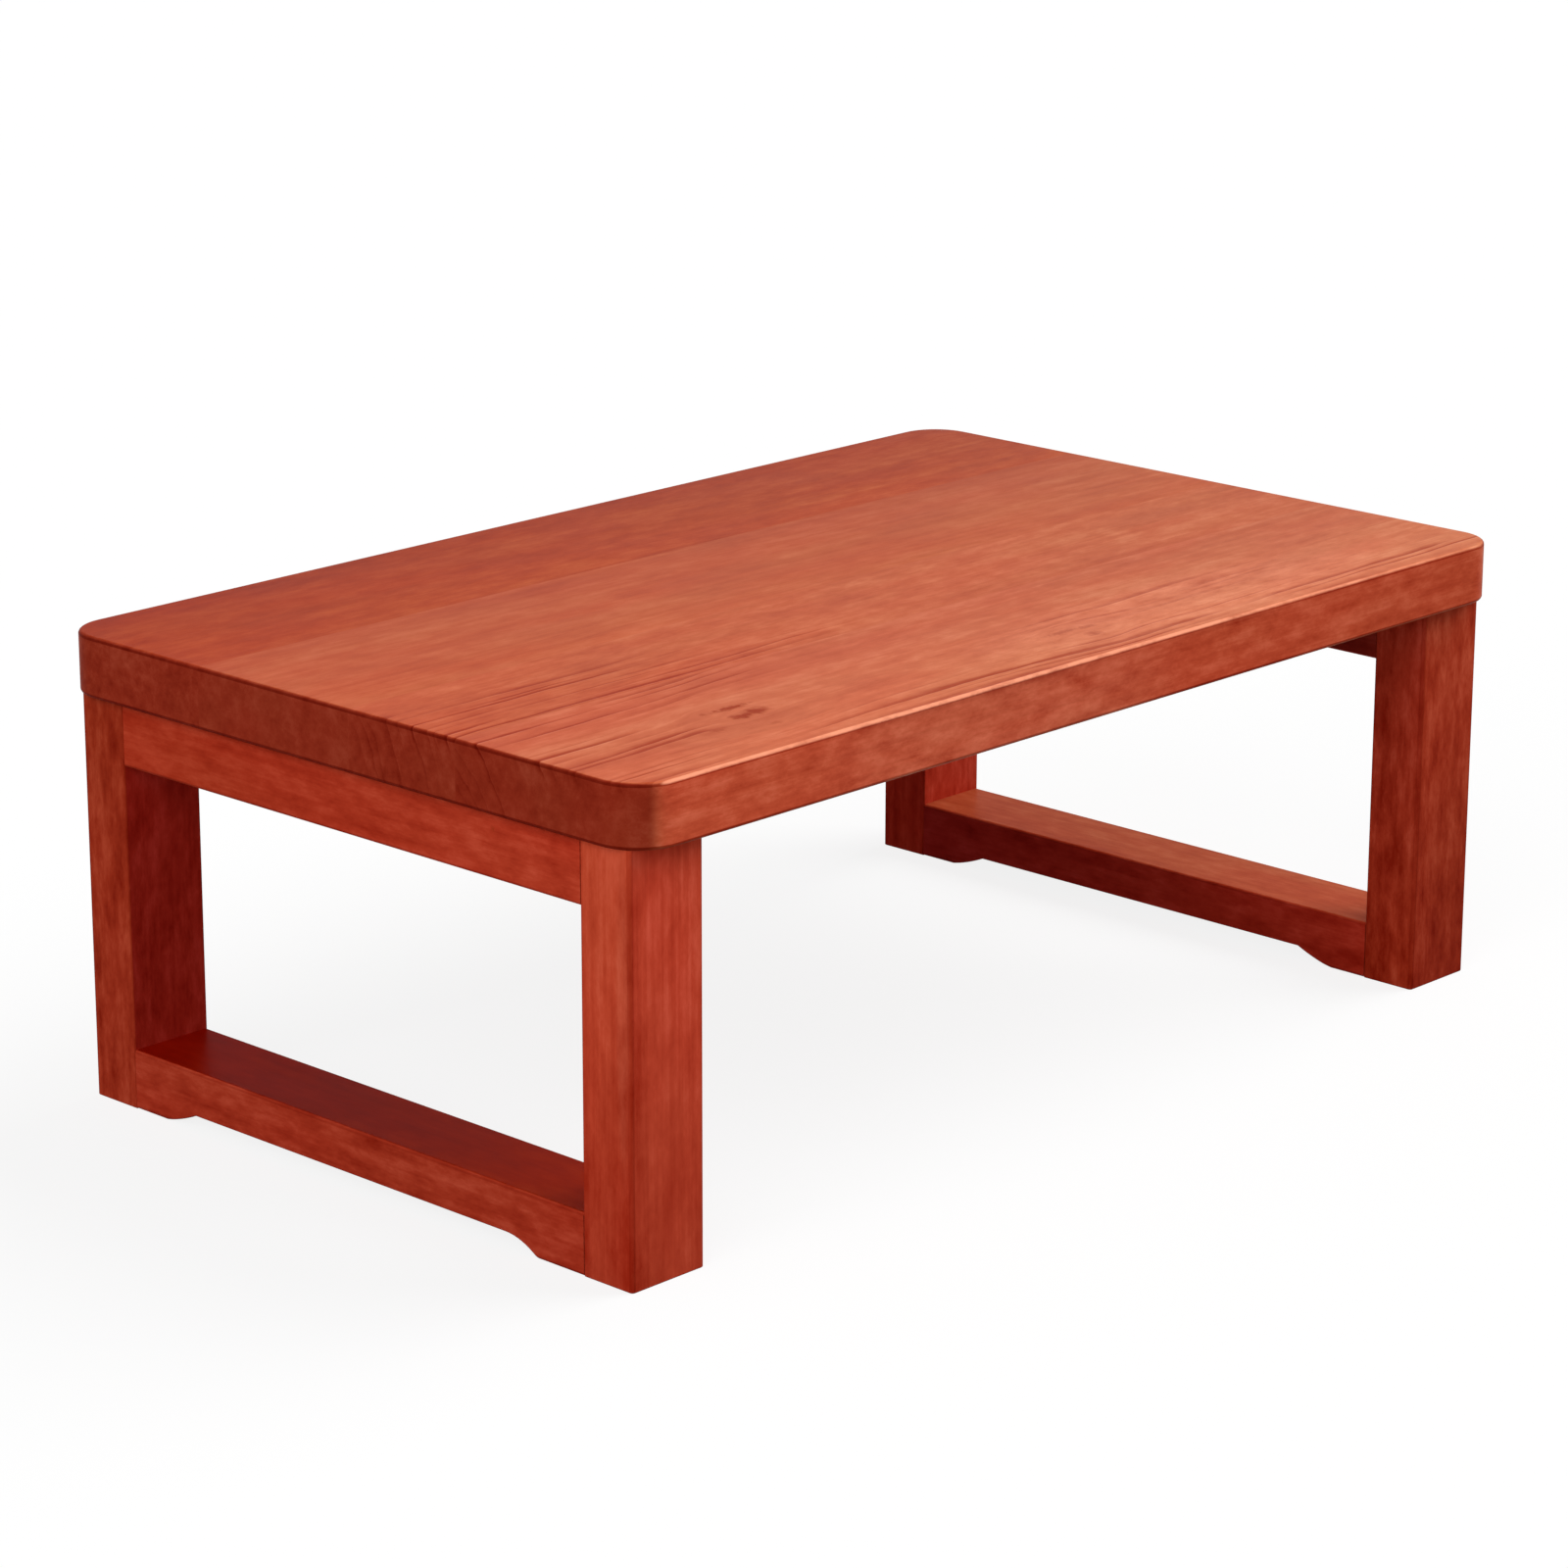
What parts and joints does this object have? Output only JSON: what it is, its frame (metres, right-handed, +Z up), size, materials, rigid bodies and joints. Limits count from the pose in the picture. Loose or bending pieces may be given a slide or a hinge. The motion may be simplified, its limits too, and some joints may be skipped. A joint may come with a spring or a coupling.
{
  "type": "low table",
  "caption": "Low floor table with a thick rounded-corner wooden top on two closed leg frames with relieved feet.",
  "frame": {"origin": "middle of the table's footprint, at floor level", "axes": "+X along the table's length, to the right seen from the front; +Y across its depth, towards the rear; +Z up"},
  "size_m": [0.8, 0.5, 0.3],
  "materials": {
    "stained_top": "pine with a red translucent stain under satin lacquer",
    "stained_frame": "pine with a red translucent stain under satin lacquer, seen in the shade of the top",
    "beech_dowel": "bare beech",
    "black_bolt": "black zinc",
    "zinc_washer": "bright zinc",
    "zinc_insert": "zinc alloy"
  },
  "bodies": {
    "root": {"top_board_rear": "stained_top", "top_board_mid_rear": "stained_top", "top_board_mid_front": "stained_top", "top_board_front": "stained_top", "rear_seam_dowels": "beech_dowel", "middle_seam_dowels": "beech_dowel", "front_seam_dowels": "beech_dowel", "left_post_rear": "stained_frame", "left_post_front": "stained_frame", "right_post_rear": "stained_frame", "right_post_front": "stained_frame", "left_upper_rail": "stained_frame", "right_upper_rail": "stained_frame", "left_lower_rail": "stained_frame", "right_lower_rail": "stained_frame", "left_bolts": "black_bolt", "right_bolts": "black_bolt", "left_washers": "zinc_washer", "right_washers": "zinc_washer", "left_inserts": "zinc_insert", "right_inserts": "zinc_insert"}
  },
  "joints": []
}
